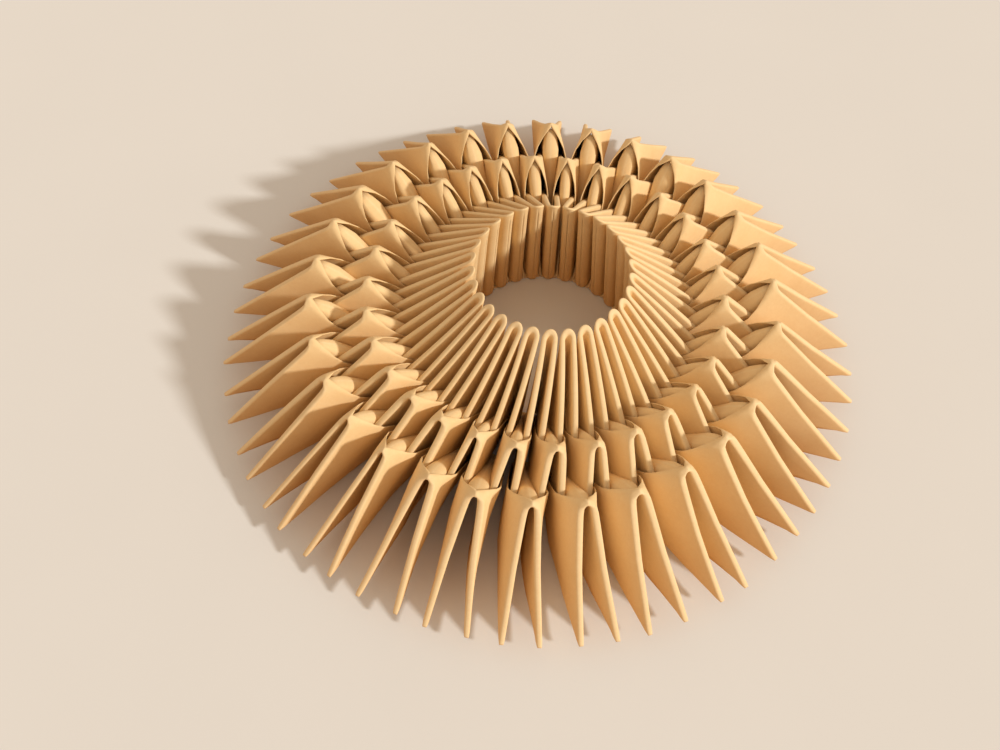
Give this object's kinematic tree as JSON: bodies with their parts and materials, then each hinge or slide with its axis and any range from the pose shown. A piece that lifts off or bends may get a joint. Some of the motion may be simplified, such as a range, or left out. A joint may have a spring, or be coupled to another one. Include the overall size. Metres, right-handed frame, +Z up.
{
  "type": "modular paper ring",
  "caption": "Flat ring of folded paper units in three rows, tips outwards, round a pleated centre hole; the first rows of a modular paper bird.",
  "frame": {"origin": "on the ring's axis, in the plane that the ring rests on", "axes": "+Z up along the ring's axis; a gap between two inner units faces +X, and a unit of the inner and outer rows faces -Y"},
  "size_m": [0.1294, 0.1294, 0.0264],
  "materials": {
    "paper": "matt uncoated paper, warm white"
  },
  "bodies": {
    "root": {"inner_row_units_01_to_02": "paper", "inner_row_units_03_to_04": "paper", "inner_row_units_05_to_06": "paper", "inner_row_units_07_to_08": "paper", "inner_row_units_09_to_10": "paper", "inner_row_units_11_to_12": "paper", "inner_row_units_13_to_14": "paper", "inner_row_units_15_to_16": "paper", "inner_row_units_17_to_18": "paper", "inner_row_units_19_to_20": "paper", "inner_row_units_21_to_22": "paper", "inner_row_units_23_to_24": "paper", "inner_row_units_25_to_26": "paper", "inner_row_units_27_to_28": "paper", "inner_row_units_29_to_30": "paper", "middle_row_units_01_to_02": "paper", "middle_row_units_03_to_04": "paper", "middle_row_units_05_to_06": "paper", "middle_row_units_07_to_08": "paper", "middle_row_units_09_to_10": "paper", "middle_row_units_11_to_12": "paper", "middle_row_units_13_to_14": "paper", "middle_row_units_15_to_16": "paper", "middle_row_units_17_to_18": "paper", "middle_row_units_19_to_20": "paper", "middle_row_units_21_to_22": "paper", "middle_row_units_23_to_24": "paper", "middle_row_units_25_to_26": "paper", "middle_row_units_27_to_28": "paper", "middle_row_units_29_to_30": "paper", "outer_row_unit_01": "paper", "outer_row_unit_02": "paper", "outer_row_unit_03": "paper", "outer_row_unit_04": "paper", "outer_row_unit_05": "paper", "outer_row_unit_06": "paper", "outer_row_unit_07": "paper", "outer_row_unit_08": "paper", "outer_row_unit_09": "paper", "outer_row_unit_10": "paper", "outer_row_unit_11": "paper", "outer_row_unit_12": "paper", "outer_row_unit_13": "paper", "outer_row_unit_14": "paper", "outer_row_unit_15": "paper", "outer_row_unit_16": "paper", "outer_row_unit_17": "paper", "outer_row_unit_18": "paper", "outer_row_unit_19": "paper", "outer_row_unit_20": "paper", "outer_row_unit_21": "paper", "outer_row_unit_22": "paper", "outer_row_unit_23": "paper", "outer_row_unit_24": "paper", "outer_row_unit_25": "paper", "outer_row_unit_26": "paper", "outer_row_unit_27": "paper", "outer_row_unit_28": "paper", "outer_row_unit_29": "paper", "outer_row_unit_30": "paper"}
  },
  "joints": []
}
